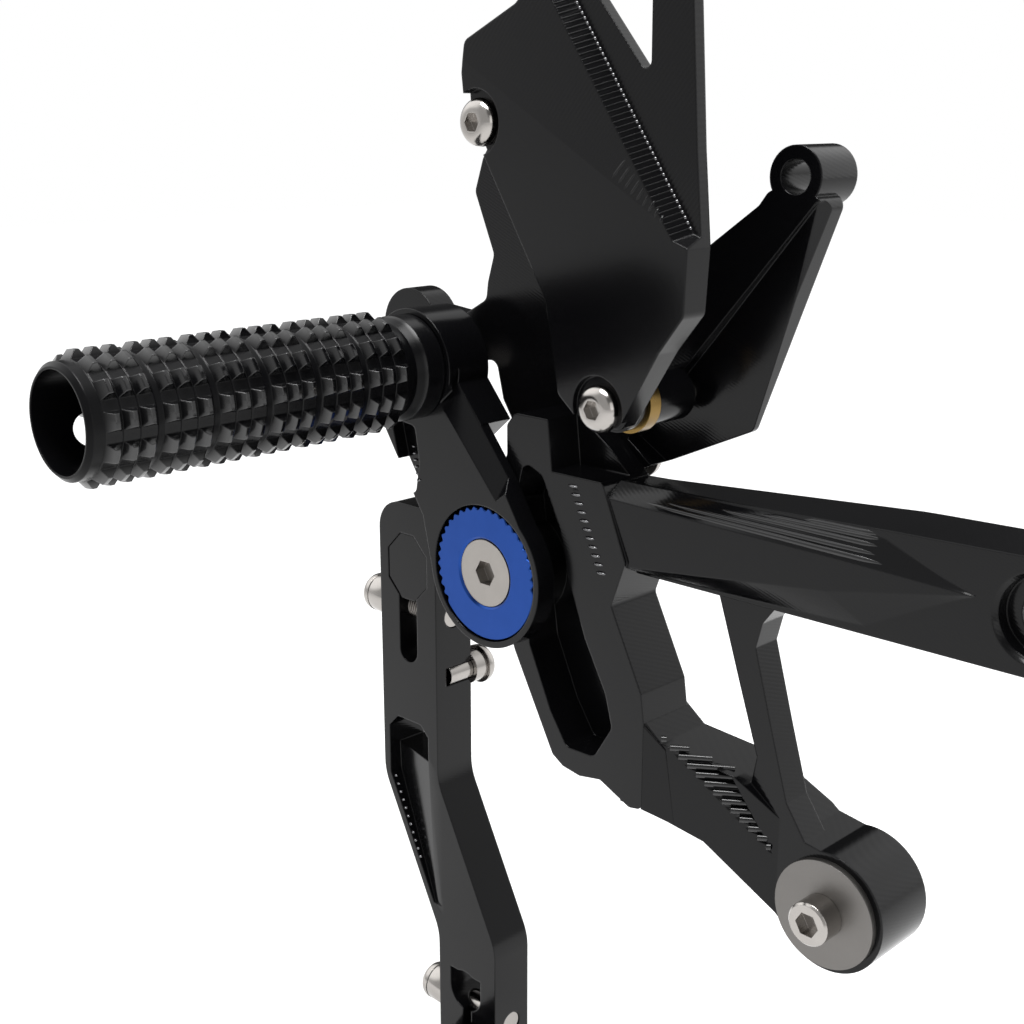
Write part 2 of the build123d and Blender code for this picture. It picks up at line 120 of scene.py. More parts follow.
# darker copy of the black anodising with a low specular level: painted shade on the heel guard ribs; it is also
# rougher
shadedDullSet = dict(blackSet, specular=0.09, roughness=(0.25, 0.35), edge=0.1 * mm)
# brighter copy of the black anodising with a raised specular level: painted highlight on the arm ridges and ramp
# bars
litRidgeSet = dict(blackSet, specular=0.55, edge=0.1 * mm)
# light grey metal in place of the black anodising: painted highlight on the cusps and rib-end dots
glintSet = {"colour": (0.17, 0.17, 0.175), "roughness": (0.12, 0.2), "edge": 0.1 * mm}
metalSet = {"cloud": 220.0, "dark": 0.82, "rings": 2200.0 / 6, "wander": 0.4, "bump": (0.1, 0.03 * mm)}
blueSet = {"colour": (0.019, 0.061, 0.262), "roughness": (0.26, 0.34), "rings": 2600.0 / 6, "edge": 0.25 * mm}
steelSet = {"colour": (0.4, 0.38, 0.36), "roughness": (0.14, 0.22), "edge": 0.25 * mm}
screwSet = {"colour": (0.34, 0.32, 0.3), "roughness": (0.34, 0.42), "edge": 0.25 * mm}
washerSet = {"colour": (0.18, 0.172, 0.164), "roughness": (0.36, 0.5), "edge": 0.2 * mm}
brassSet = {"colour": (0.24, 0.155, 0.05), "roughness": (0.22, 0.34), "edge": 0.2 * mm}
edgeSamples = 6


def newMaterial(name):
    material = bpy.data.materials.new(name)
    material.use_nodes = True
    tree = material.node_tree
    return material, tree, tree.nodes["Principled BSDF"]


def addNode(tree, kind, **values):
    node = tree.nodes.new(kind)
    for key, value in values.items():
        if key in node.inputs:
            node.inputs[key].default_value = value
        else:
            setattr(node, key, value)
    return node


def mixColours(tree, factor, first, second):
    mix = addNode(tree, "ShaderNodeMix", data_type="RGBA")  # inputs 6, 7 and output 2 carry colour
    mix.inputs[6].default_value = (*first, 1)
    mix.inputs[7].default_value = (*second, 1)
    tree.links.new(factor, mix.inputs[0])
    return mix.outputs[2]


def ranged(tree, value, low, high):
    span = addNode(tree, "ShaderNodeMapRange")
    span.inputs["To Min"].default_value = low
    span.inputs["To Max"].default_value = high
    tree.links.new(value, span.inputs["Value"])
    return span.outputs["Result"]


def softEdge(tree, shader, radius, height, strength, distance):
    bevel = addNode(tree, "ShaderNodeBevel", samples=edgeSamples)
    bevel.inputs["Radius"].default_value = radius
    bump = addNode(tree, "ShaderNodeBump")
    bump.inputs["Strength"].default_value = strength
    bump.inputs["Distance"].default_value = distance
    tree.links.new(height, bump.inputs["Height"])
    tree.links.new(bevel.outputs["Normal"], bump.inputs["Normal"])
    tree.links.new(bump.outputs["Normal"], shader.inputs["Normal"])


def joined(tree, first, second):
    total = addNode(tree, "ShaderNodeMath", operation="ADD")
    tree.links.new(first, total.inputs[0])
    tree.links.new(second, total.inputs[1])
    return total.outputs[0]


def millLines(tree, place, lines):
    across = Vector(lines["across"]).normalized() * (2 * math.pi / lines["pitch"])
    dot = addNode(tree, "ShaderNodeVectorMath", operation="DOT_PRODUCT")
    dot.inputs[1].default_value = across
    tree.links.new(place, dot.inputs[0])
    wave = addNode(tree, "ShaderNodeMath", operation="SINE")
    tree.links.new(dot.outputs["Value"], wave.inputs[0])
    deep = addNode(tree, "ShaderNodeMath", operation="MULTIPLY")
    deep.inputs[1].default_value = lines["deep"]
    tree.links.new(wave.outputs[0], deep.inputs[0])
    if "field" in lines:
        tree.links.new(fieldMask(tree, place, lines["field"], lines["deep"]), deep.inputs[1])
    return deep.outputs[0]


def fieldMask(tree, place, field, full):
    move = addNode(tree, "ShaderNodeVectorMath", operation="SUBTRACT")
    move.inputs[1].default_value = field["from"]
    tree.links.new(place, move.inputs[0])
    dot = addNode(tree, "ShaderNodeVectorMath", operation="DOT_PRODUCT")
    dot.inputs[1].default_value = field["toward"]
    tree.links.new(move.outputs[0], dot.inputs[0])
    span = addNode(tree, "ShaderNodeMapRange")
    span.inputs["From Max"].default_value = field["soft"]
    span.inputs["To Max"].default_value = full
    tree.links.new(dot.outputs["Value"], span.inputs["Value"])
    return span.outputs["Result"]


def axisReach(tree, place, name, reach):
    low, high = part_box(name)
    centre = (low + high) / 2
    move = addNode(tree, "ShaderNodeVectorMath", operation="SUBTRACT")
    move.inputs[1].default_value = centre
    tree.links.new(place, move.inputs[0])
    flat = addNode(tree, "ShaderNodeVectorMath", operation="MULTIPLY")
    flat.inputs[1].default_value = (1, 0, 1)
    tree.links.new(move.outputs[0], flat.inputs[0])
    away = addNode(tree, "ShaderNodeVectorMath", operation="LENGTH")
    tree.links.new(flat.outputs[0], away.inputs[0])
    span = addNode(tree, "ShaderNodeMapRange")
    span.inputs["From Min"].default_value = reach[0]
    span.inputs["From Max"].default_value = reach[1]
    tree.links.new(away.outputs["Value"], span.inputs["Value"])
    return span.outputs["Result"]


def anodised(name, settings):
    material, tree, shader = newMaterial(name)
    place = addNode(tree, "ShaderNodeTexCoord").outputs["Object"]
    grain = addNode(tree, "ShaderNodeTexNoise", Scale=settings["grain"], Detail=3.0)
    cloud = addNode(tree, "ShaderNodeTexNoise", Scale=settings["cloud"], Detail=2.0)
    for texture in (grain, cloud):
        tree.links.new(place, texture.inputs["Vector"])
    wear = ranged(tree, cloud.outputs["Fac"], *settings["wear"])
    colour = mixColours(tree, wear, settings["colour"], settings["worn"])
    tree.links.new(colour, shader.inputs["Base Color"])
    rough = ranged(tree, cloud.outputs["Fac"], *settings["roughness"])
    tree.links.new(rough, shader.inputs["Roughness"])
    shader.inputs["Metallic"].default_value = 0.0
    shader.inputs["Specular IOR Level"].default_value = settings["specular"]
    if "axis" in settings:
        # a radial mask lowers specular level towards the axis: painted shade in the peg's valleys
        tip = axisReach(tree, place, settings["axis"], settings["reach"])
        tree.links.new(ranged(tree, tip, *settings["shine"]), shader.inputs["Specular IOR Level"])
        tree.links.new(ranged(tree, tip, *settings["blur"]), shader.inputs["Roughness"])
    height = grain.outputs["Fac"]
    if "lines" in settings:
        height = joined(tree, height, millLines(tree, place, settings["lines"]))
    softEdge(tree, shader, settings["edge"], height, *settings["bump"])
    return material


def metal(name, settings, turned=None):
    material, tree, shader = newMaterial(name)
    place = addNode(tree, "ShaderNodeTexCoord").outputs["Object"]
    cloud = addNode(tree, "ShaderNodeTexNoise", Scale=metalSet["cloud"], Detail=3.0)
    tree.links.new(place, cloud.inputs["Vector"])
    dark = [c * metalSet["dark"] for c in settings["colour"]]
    colour = mixColours(tree, cloud.outputs["Fac"], dark, settings["colour"])
    tree.links.new(colour, shader.inputs["Base Color"])
    rough = ranged(tree, cloud.outputs["Fac"], *settings["roughness"])
    tree.links.new(rough, shader.inputs["Roughness"])
    shader.inputs["Metallic"].default_value = 1.0
    height = cloud.outputs["Fac"]
    if turned is not None:
        height = turnedRings(tree, place, turned, settings.get("rings", metalSet["rings"]))
    softEdge(tree, shader, settings["edge"], height, *metalSet["bump"])
    return material


def turnedRings(tree, place, centre, scale):
    move = addNode(tree, "ShaderNodeVectorMath", operation="SUBTRACT")
    move.inputs[1].default_value = centre
    tree.links.new(place, move.inputs[0])
    wave = addNode(tree, "ShaderNodeTexWave", wave_type="RINGS", rings_direction="Y")
    wave.inputs["Scale"].default_value = scale
    wave.inputs["Distortion"].default_value = metalSet["wander"]
    tree.links.new(move.outputs[0], wave.inputs["Vector"])
    return wave.outputs["Fac"]


def paint(names, material):
    for name in names:
        mesh = nodes[name].data
        mesh.materials.clear()
        mesh.materials.append(material)


def centreOf(name):
    low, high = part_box(name)
    return (low + high) / 2


blackMaterial = anodised("blackAnodised", blackSet)
guardMaterial = anodised("blackGuard", guardSet)
bracketMaterial = anodised("blackBracket", bracketSet)
leverMaterial = anodised("blackLever", leverSet)
pegMaterial = anodised("blackPeg", pegSet)
shadedDullMaterial = anodised("blackShadedDull", shadedDullSet)
litRidgeMaterial = anodised("blackRidgeLit", litRidgeSet)
glintMaterial = metal("blackGlint", glintSet)
blueMaterial = metal("blueAnodised", blueSet, centreOf("adjuster_disc"))
steelMaterial = metal("steelBright", steelSet)
screwMaterial = metal("steelSatin", screwSet, centreOf("adjuster_screw"))
washerMaterial = metal("washerSteel", washerSet, centreOf("lower_washer"))
brassMaterial = metal("brassTurned", brassSet, centreOf("brass_bush"))

blackNames = ["carrier_plate", "peg_arm", "lever_shaft", "guard_spacers"]
blackNames += ["frame_collar", "pinch_sleeves", "toe_peg"]
steelNames = ["guard_screws", "plate_screws", "footpeg_bolt", "shaft_keeper", "keeper_screw"]
steelNames += ["pinch_screws", "rod_bolt", "rod_spacer", "lower_bolt"]
paint(blackNames, blackMaterial)
paint(["heel_guard"], guardMaterial)
paint(["main_bracket"], bracketMaterial)
paint(["lever"], leverMaterial)
paint(["footpeg"], pegMaterial)
paint(["adjuster_disc"], blueMaterial)
paint(steelNames, steelMaterial)
paint(["adjuster_screw"], screwMaterial)
paint(["lower_washer"], washerMaterial)
paint(["brass_bush", "shaft_bushes"], brassMaterial)
print("materials done")


armRidgeSet = {
    "node": "main_bracket",
    "lines": [
        ((630, 498), (908, 571)),
        ((653, 499.5), (897, 560)),
        ((709, 506.5), (894, 550)),
        ((751, 512), (891, 541.5)),
        ((798.5, 518), (883, 536)),
    ],
    "steps": 12,
    "thick": 0.8 * mm,
    "sunk": 0.42 * mm,
}
fanSet = {
    "node": "heel_guard",
    "first": ((627, 158), (611, 179)),
    "last": ((664, 214), (660, 224)),
    "count": 9,
    "steps": 4,
    "thick": 0.42 * mm,
    "sunk": 0.22 * mm,
}
rampBarSet = {
    "corners": [(48.5, 7.3, -29.0), (67.0, 17.0, -35.8), (77.5, 15.85, -53.1)],
    "count": 14,
    "first": 0.6,
    "raised": 0.5 * mm,
    "trim": 0.7 * mm,
    "thick": 0.82 * mm,
}
blendSet = {
    "front": [(46.35, 5.99, -27.4), (46.35, 5.99, -48.4), (54.0, 8.93, -50.8), (51.5, 7.97, -32.5)],
    "thick": 1.2,
}
valleyCuspSet = {
    "node": "main_bracket",
    "from": (573, 486),
    "to": (601, 573),
    "count": 11,
    "size": (1.5, 0.8, 0.42),
    "sunk": 0.1 * mm,
}
pocketCuspSet = {
    "node": "peg_arm",
    "from": (414, 446),
    "to": (419, 480),
    "count": 6,
    "size": (0.7, 0.7, 0.4),
    "sunk": 0.1 * mm,
}
recessCuspSet = {
    "node": "lever",
    "from": (396.5, 775),
    "to": (421, 856),
    "count": 11,
    "size": (0.7, 0.7, 0.45),
    "sunk": 0.1 * mm,
}
guardRibSet = {
    "front": [(27.1, -5.94, 130.83), (59.8, -5.94, 84.93)],
    "low": (28.9, -1.44, 132.13),
    "count": 46,
    "thick": 0.28 * mm,
    "dot": (0.45, 0.45, 0.45),
}
plateCutSet = {
    "fill": [(58.4, 46.6), (73.1, 82.1), (65.8, 85.1), (34.2, 43.5)],
    "cut": [(36.0, 27.5, 6.0), (59.5, 38.0, 6.8), (79.0, 92.5, 6.8), (75.2, 90.8, 0.8), (26.5, 34.2, 4.5)],
    "floor": [(4, 1, 0), (4, 3, 1), (3, 2, 1)],
    "face": 22.0,
    "under": 27.0,
    "past": 2.0,
}
leverCutSet = {
    "fill": [(-26.8, -105.0), (-22.6, -107.3), (-23.0, -100.7), (-40.0, -68.8), (-45.6, -68.0)],
    "fillSunk": 0.02,  # level with the front, the cuts fail
    "fillDeep": 3.5,
    "window": [(-44.6, -61.2), (-28.8, -61.2), (-28.8, -54.3), (-31.8, -51.5), (-41.0, -51.5), (-44.6, -55.2)],
    "recess": [
        (-44.6, -60.2, 3.76),
        (-44.6, -69.2, 4.0),
        (-27.5, -103.0, 0.83),
        (-24.0, -103.0, 0.0),
        (-28.8, -60.2, 0.0),
    ],
    "floor": [(4, 1, 0), (4, 2, 1), (4, 3, 2)],
    "front": 7.0,
    "rear": 19.5,
    "past": 1.0,
}
pegCutSet = {
    "bore": {"start": (-25.3, -97.0, 47.8), "along": (0, 1, 0), "r": 11.0, "length": 80.0, "sides": 64},
    "drain": {"start": (-25.3, -82.2, 47.8), "along": (-0.891, 0, -0.454), "r": 4.0, "length": 30.0, "sides": 40},
}
discSet = {
    "rings": [
        (0.4, 9.1, False),
        (0.4, 16.5, True),
        (0.7, 16.8, True),
        (4.2, 16.8, True),
        (4.2, 4.3, False),
        (3.9, 4.3, False),
    ],
    "around": 40,
    "teeth": 25,
    "steps": 6,
    "deep": 0.9,
    "start": -6.0,
    "sharp": 30,
}
barrelSet = {"r": 5.2 * mm, "sides": 48, "round": 0.5 * mm, "lip": 0.1 * mm, "sharp": 50}
threadSet = {
    "start": (-39.2, 13.25, -20.4),
    "r": 3.1,
    "sides": 32,
    "count": 9,
    "step": (0.8 * mm, 0, 0),
    "thick": 0.22 * mm,
}
ridgeEnds = {"reach": 0.2, "narrow": 0.3}
tubeSides = 8
ballSteps = 3
carvedSharp = 20
mergeGap = 0.001 * mm
drawnZero = Vector((134.5, 30.0, 18.5))  # the frame's origin on the drawing
hitTrees = {}


def drawn(point):
    return (Vector(point) - drawnZero) * mm


def treeOf(mesh):
    return BVHTree.FromPolygons([v.co for v in mesh.vertices], [p.vertices for p in mesh.polygons])


def linked(name, data):
    piece = bpy.data.objects.new(name, data)
    bpy.context.scene.collection.objects.link(piece)
    return piece


def appliedMesh(piece):
    solved = piece.evaluated_get(bpy.context.evaluated_depsgraph_get())
    return bpy.data.meshes.new_from_object(solved)


def smoothed(mesh, degrees=None):
    for facet in mesh.polygons:
        facet.use_smooth = True
    if degrees is not None:
        mesh.set_sharp_from_angle(angle=math.radians(degrees))


def photoHit(name, pixel):
    if name not in hitTrees:
        hitTrees[name] = treeOf(nodes[name].data)
    focal = cameraSet["lens"] / cameraSet["sensor"] * cameraSet["pixels"]
    middle = cameraSet["pixels"] / 2
    right, up, back = (Vector(cameraSet[key]) for key in ("right", "up", "back"))
    toward = right * (pixel[0] - middle) / focal - up * (pixel[1] - middle) / focal - back
    place, normal = hitTrees[name].ray_cast(Vector(cameraSet["place"]) * mm, toward)[:2]
    return place, normal


def sunkLine(settings, start, end):
    points = []
    for k in range(settings["steps"] + 1):
        share = k / settings["steps"]
        pixel = [a + (b - a) * share for a, b in zip(start, end)]
        place, normal = photoHit(settings["node"], pixel)
        points.append(place - normal * settings["sunk"])
    return points


def linesMesh(name, lines):
    points = [p for line in lines for p in line]
    edges = []
    start = 0
    for line in lines:
        edges += [(start + k, start + k + 1) for k in range(len(line) - 1)]
        start += len(line)
    mesh = bpy.data.meshes.new(name)
    mesh.from_pydata(points, edges, [])
    return mesh


def newGroup(name, inputs):
    group = bpy.data.node_groups.new(name, "GeometryNodeTree")
    sockets = group.interface
    sockets.new_socket("Geometry", in_out="INPUT", socket_type="NodeSocketGeometry")
    for label, kind in inputs.items():
        sockets.new_socket(label, in_out="INPUT", socket_type="NodeSocket" + kind)
    sockets.new_socket("Geometry", in_out="OUTPUT", socket_type="NodeSocketGeometry")
    return group, group.nodes.new("NodeGroupInput"), group.nodes.new("NodeGroupOutput")


def closeGroup(group, start, end, shape):
    real = addNode(group, "GeometryNodeRealizeInstances")
    finish = addNode(group, "GeometryNodeSetMaterial")
    group.links.new(shape, real.inputs["Geometry"])
    group.links.new(real.outputs[0], finish.inputs["Geometry"])
    group.links.new(start.outputs["Finish"], finish.inputs["Material"])
    group.links.new(finish.outputs[0], end.inputs["Geometry"])
    return group


def tubeOf(group, curve, thick):
    ring = addNode(group, "GeometryNodeCurvePrimitiveCircle", Resolution=tubeSides)
    group.links.new(thick, ring.inputs["Radius"])
    tube = addNode(group, "GeometryNodeCurveToMesh")
    tube.inputs["Fill Caps"].default_value = True
    group.links.new(curve, tube.inputs["Curve"])
    group.links.new(ring.outputs["Curve"], tube.inputs["Profile Curve"])
    return tube


def ridgeGroup():
    group, start, end = newGroup("ridgesAlong", {"Thick": "Float", "Finish": "Material"})
    curve = addNode(group, "GeometryNodeMeshToCurve")
    group.links.new(start.outputs["Geometry"], curve.inputs["Mesh"])
    along = addNode(group, "GeometryNodeSplineParameter")
    ends = addNode(group, "ShaderNodeMath", operation="PINGPONG")
    ends.inputs[1].default_value = 0.5  # counts from both ends to the middle
    group.links.new(along.outputs["Factor"], ends.inputs[0])
    narrow = addNode(group, "ShaderNodeMapRange", interpolation_type="SMOOTHSTEP")
    narrow.inputs["From Max"].default_value = ridgeEnds["reach"]
    narrow.inputs["To Min"].default_value = ridgeEnds["narrow"]
    group.links.new(ends.outputs[0], narrow.inputs["Value"])
    tube = tubeOf(group, curve.outputs[0], start.outputs["Thick"])
    group.links.new(narrow.outputs["Result"], tube.inputs["Scale"])
    return closeGroup(group, start, end, tube.outputs[0])


def cuspGroup():
    group, start, end = newGroup("cuspsAt", {"Size": "Vector", "Finish": "Material"})
    ball = addNode(group, "GeometryNodeMeshIcoSphere", Radius=mm, Subdivisions=ballSteps)
    place = addNode(group, "GeometryNodeInstanceOnPoints")
    group.links.new(start.outputs["Geometry"], place.inputs["Points"])
    group.links.new(ball.outputs["Mesh"], place.inputs["Instance"])
    group.links.new(start.outputs["Size"], place.inputs["Scale"])
    return closeGroup(group, start, end, place.outputs[0])


def ribGroup():
    inputs = {"Count": "Int", "Step": "Vector", "Thick": "Float", "Finish": "Material"}
    group, start, end = newGroup("ribsInRow", inputs)
    curve = addNode(group, "GeometryNodeMeshToCurve")
    group.links.new(start.outputs["Geometry"], curve.inputs["Mesh"])
    tube = tubeOf(group, curve.outputs[0], start.outputs["Thick"])
    row = addNode(group, "GeometryNodeMeshLine", mode="OFFSET")
    group.links.new(start.outputs["Count"], row.inputs["Count"])
    group.links.new(start.outputs["Step"], row.inputs["Offset"])
    place = addNode(group, "GeometryNodeInstanceOnPoints")
    group.links.new(row.outputs["Mesh"], place.inputs["Points"])
    group.links.new(tube.outputs[0], place.inputs["Instance"])
    return closeGroup(group, start, end, place.outputs[0])


def grown(name, mesh, group, values, body):
    piece = linked(name, mesh)
    grow = piece.modifiers.new("grow", "NODES")
    grow.node_group = group
    for item in group.interface.items_tree:
        if item.in_out == "INPUT" and item.name in values:
            grow[item.identifier] = values[item.name]
    plain = appliedMesh(piece)
    piece.modifiers.remove(grow)
    piece.data = plain
    smoothed(plain)
    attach(piece, body)


def armRidges(settings):
    lines = [sunkLine(settings, a, b) for a, b in settings["lines"]]
    # the arm ridges take the brighter copy of the anodising: painted highlight
    values = {"Thick": settings["thick"], "Finish": litRidgeMaterial}
    grown("armRidges", linesMesh("armRidges", lines), ridges, values, "bracket")


def guardFan(settings):
    lines = []
    for k in range(settings["count"]):
        share = k / (settings["count"] - 1)
        ends = []
        for a, b in zip(settings["first"], settings["last"]):
            ends.append([p + (q - p) * share for p, q in zip(a, b)])
        lines.append(sunkLine(settings, *ends))
    values = {"Thick": settings["thick"], "Finish": blackMaterial}
    grown("guardFan", linesMesh("guardFan", lines), ridges, values, "bracket")


def cuspRow(name, settings, body):
    line = sunkLine(dict(settings, steps=settings["count"] - 1), settings["from"], settings["to"])
    # the cusps are small bumps; their light metal colour is a painted highlight on the black anodising
    values = {"Size": settings["size"], "Finish": glintMaterial}
    grown(name, linesMesh(name, [line]), cusps, values, body)


def guardRibs(settings):
    first, last = [drawn(p) for p in settings["front"]]
    low = drawn(settings["low"])
    step = (last - first) / (settings["count"] - 1)
    # the ribs take the darker copy of the anodising: painted shade
    values = {"Count": settings["count"], "Step": step, "Thick": settings["thick"], "Finish": shadedDullMaterial}
    grown("guardRibs", linesMesh("guardRibs", [[first, low]]), ribs, values, "bracket")
    dots = [low + step * k for k in range(settings["count"])]
    # the dots take the light metal: painted highlight at the rib ends
    values = {"Size": settings["dot"], "Finish": glintMaterial}
    grown("guardDots", linesMesh("guardDots", [dots]), cusps, values, "bracket")


def atHeight(first, last, z):
    return first.lerp(last, (z - first.z) / (last.z - first.z))


def rampBars(settings):
    top, side, low = [drawn(c) for c in settings["corners"]]
    outward = (low - top).cross(side - top).normalized() * settings["raised"]
    lines = []
    for k in range(settings["count"]):
        z = top.z + (low.z - top.z) * (k + settings["first"]) / settings["count"]
        first = atHeight(top, low, z)
        last = atHeight(top, side, z) if z > side.z else atHeight(side, low, z)
        along = (last - first).normalized()
        if (last - first).length > settings["trim"]:
            lines.append([first + along * settings["trim"] + outward, last + outward])
    # the ramp bars take the brighter copy of the anodising: painted highlight
    values = {"Count": 1, "Step": (0, 0, 0), "Thick": settings["thick"], "Finish": litRidgeMaterial}
    grown("rampBars", linesMesh("rampBars", lines), ribs, values, "bracket")


def armBlend(settings):
    back = [(x, y + settings["thick"], z) for x, y, z in settings["front"]]
    piece = prismObject("armBlend", settings["front"], back)
    piece.data.materials.append(bracketMaterial)
    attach(piece, "bracket")


def prismObject(name, front, back, floor=None):
    count = len(front)
    faces = [tuple(range(count))]
    if floor is None:
        faces.append(tuple(range(2 * count - 1, count - 1, -1)))
    else:
        faces += [tuple(count + k for k in corner) for corner in floor]
    for k in range(count):
        j = (k + 1) % count
        faces.append((j, k, count + k, count + j))
    mesh = bpy.data.meshes.new(name)
    mesh.from_pydata([drawn(p) for p in front + back], [], faces)
    return linked(name, mesh)


def mergedMesh(name):
    mesh = nodes[name].data.copy()
    form = bmesh.new()
    form.from_mesh(mesh)
    bmesh.ops.remove_doubles(form, verts=form.verts, dist=mergeGap)
    form.to_mesh(mesh)
    form.free()
    return mesh


def plateFacet(settings):
    face = settings["face"]
    top = [(x, face, z) for x, z in settings["fill"]]
    fill = prismObject("plateFill", top, [(x, settings["under"], z) for x, _, z in top])
    top = [(x, face - settings["past"], z) for x, z, _ in settings["cut"]]
    low = [(x, face + deep, z) for x, z, deep in settings["cut"]]
    cut = prismObject("plateCut", top, low, settings["floor"])
    carved("carrierPlate", "carrier_plate", ((fill, "UNION"), (cut, "DIFFERENCE")), bracketMaterial, "bracket")


def leverWindow(settings):
    front, rear, past = settings["front"], settings["rear"], settings["past"]
    top = [(x, front + settings["fillSunk"], z) for x, z in settings["fill"]]
    fill = prismObject("leverFill", top, [(x, front + settings["fillDeep"], z) for x, _, z in top])
    top = [(x, front - past, z) for x, z in settings["window"]]
    window = prismObject("leverOpening", top, [(x, rear + past, z) for x, _, z in top])
    top = [(x, front - past, z) for x, z, _ in settings["recess"]]
    low = [(x, front + deep, z) for x, z, deep in settings["recess"]]
    recess = prismObject("leverRecess", top, low, settings["floor"])
    steps = ((fill, "UNION"), (window, "DIFFERENCE"), (recess, "DIFFERENCE"))
    carved("leverBar", "lever", steps, leverMaterial, "foot_lever")


def pegOpenings(settings):
    bore = rodObject("pegBore", settings["bore"])
    drain = rodObject("pegDrain", settings["drain"])
    carved("footpegBody", "footpeg", ((bore, "DIFFERENCE"), (drain, "DIFFERENCE")), pegMaterial, "footrest")


def rodObject(name, settings):
    along = Vector(settings["along"]).normalized()
    side = along.orthogonal().normalized()
    other = along.cross(side)
    start = Vector(settings["start"])
    ring = []
    for k in range(settings["sides"]):
        turn = 2 * math.pi * k / settings["sides"]
        ring.append(start + (side * math.cos(turn) + other * math.sin(turn)) * settings["r"])
    far = [p + along * settings["length"] for p in ring]
    return prismObject(name, ring[::-1], far[::-1])


def carved(label, name, steps, material, body):
    piece = linked(label, mergedMesh(name))
    for tool, action in steps:
        step = piece.modifiers.new(action, "BOOLEAN")
        step.operation = action
        step.solver = "EXACT"
        step.object = tool
    plain = appliedMesh(piece)
    piece.modifiers.clear()
    piece.data = plain
    for tool, _ in steps:
        bpy.data.objects.remove(tool)
    if "custom_normal" in plain.attributes:
        plain.attributes.remove(plain.attributes["custom_normal"])
    smoothed(plain, carvedSharp)
    plain.materials.clear()
    plain.materials.append(material)
    hitTrees[name] = treeOf(plain)
    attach(piece, body)
    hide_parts(name)


def wavedDisc(settings):
    points, faces = [], []
    count = settings["around"] * settings["steps"]
    for y, r, waved in settings["rings"]:
        for k in range(count):
            tooth, step = divmod(k, settings["steps"])
            deep = settings["deep"] if waved and tooth < settings["teeth"] else 0
            reach = r - deep * (1 - math.cos(2 * math.pi * step / settings["steps"])) / 2
            turn = math.radians(settings["start"]) + 2 * math.pi * k / count
            points.append(drawn((reach * math.cos(turn), y, reach * math.sin(turn))))
    rows = len(settings["rings"])
    for j in range(rows):
        for k in range(count):
            a, b = j * count, (j + 1) % rows * count
            m = (k + 1) % count
            faces.append((a + k, b + k, b + m, a + m))
    mesh = bpy.data.meshes.new("discWaved")
    mesh.from_pydata(points, [], faces)
    form = bmesh.new()
    form.from_mesh(mesh)
    bmesh.ops.recalc_face_normals(form, faces=form.faces)
    form.to_mesh(mesh)
    form.free()
    smoothed(mesh, settings["sharp"])
    mesh.materials.append(blueMaterial)
    piece = linked("discWaved", mesh)
    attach(piece, "footrest")
    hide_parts("adjuster_disc")


def latheX(profile, centre, sides):
    points = []
    faces = []
    for x, r in profile:
        for k in range(sides):
            turn = 2 * math.pi * k / sides
            points.append((x, centre[0] + r * math.cos(turn), centre[1] + r * math.sin(turn)))
    for j in range(len(profile) - 1):
        for k in range(sides):
            a, b = j * sides + k, j * sides + (k + 1) % sides
            faces.append((a, b, b + sides, a + sides))
    faces.append(tuple(range(sides - 1, -1, -1)))
    faces.append(tuple(range((len(profile) - 1) * sides, len(profile) * sides)))
    return points, faces


def pinchBarrels(settings):
    corners = [v.co for v in nodes["pinch_sleeves"].data.vertices]
    middle = (min(c.z for c in corners) + max(c.z for c in corners)) / 2
    points, faces = [], []
    for part in ([c for c in corners if c.z > middle], [c for c in corners if c.z < middle]):
        left, right = min(c.x for c in part), max(c.x for c in part)
        centre = [(min(c[k] for c in part) + max(c[k] for c in part)) / 2 for k in (1, 2)]
        r, soft = settings["r"], settings["round"]
        profile = [(left, r - settings["lip"]), (left + soft, r), (right - soft, r), (right, r - soft)]
        more, shapes = latheX(profile, centre, settings["sides"])
        faces += [tuple(len(points) + k for k in shape) for shape in shapes]
        points += more
    mesh = bpy.data.meshes.new("pinchBarrels")
    mesh.from_pydata(points, [], faces)
    smoothed(mesh, settings["sharp"])
    mesh.materials.append(steelMaterial)
    piece = linked("pinchBarrels", mesh)
    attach(piece, "foot_lever")
    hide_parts("pinch_sleeves")


def pinchThread(settings):
    x, y, z = settings["start"]
    ring = []
    for k in range(settings["sides"] + 1):
        turn = 2 * math.pi * k / settings["sides"]
        ring.append(drawn((x, y + settings["r"] * math.cos(turn), z + settings["r"] * math.sin(turn))))
    values = {"Count": settings["count"], "Step": settings["step"], "Thick": settings["thick"]}
    values["Finish"] = screwMaterial
    grown("pinchThread", linesMesh("pinchThread", [ring]), ribs, values, "foot_lever")


ridges = ridgeGroup()
cusps = cuspGroup()
ribs = ribGroup()
plateFacet(plateCutSet)
leverWindow(leverCutSet)
pegOpenings(pegCutSet)
wavedDisc(discSet)
armRidges(armRidgeSet)
guardFan(fanSet)
cuspRow("valleyCusps", valleyCuspSet, "bracket")
cuspRow("pocketCusps", pocketCuspSet, "footrest")
cuspRow("recessCusps", recessCuspSet, "foot_lever")
guardRibs(guardRibSet)
rampBars(rampBarSet)
armBlend(blendSet)
pinchBarrels(barrelSet)
pinchThread(threadSet)
print("details done")


def cardGlow(tree, toward, card):
    dot = addNode(tree, "ShaderNodeVectorMath", operation="DOT_PRODUCT")
    dot.inputs[1].default_value = Vector(card["toward"]).normalized()
    tree.links.new(toward, dot.inputs[0])
    span = addNode(tree, "ShaderNodeMapRange", interpolation_type="SMOOTHSTEP")
    span.inputs["From Min"].default_value = card["from"]
    span.inputs["From Max"].default_value = card["to"]
    span.inputs["To Max"].default_value = card["glow"]
    tree.links.new(dot.outputs["Value"], span.inputs["Value"])
    return span.outputs["Result"]


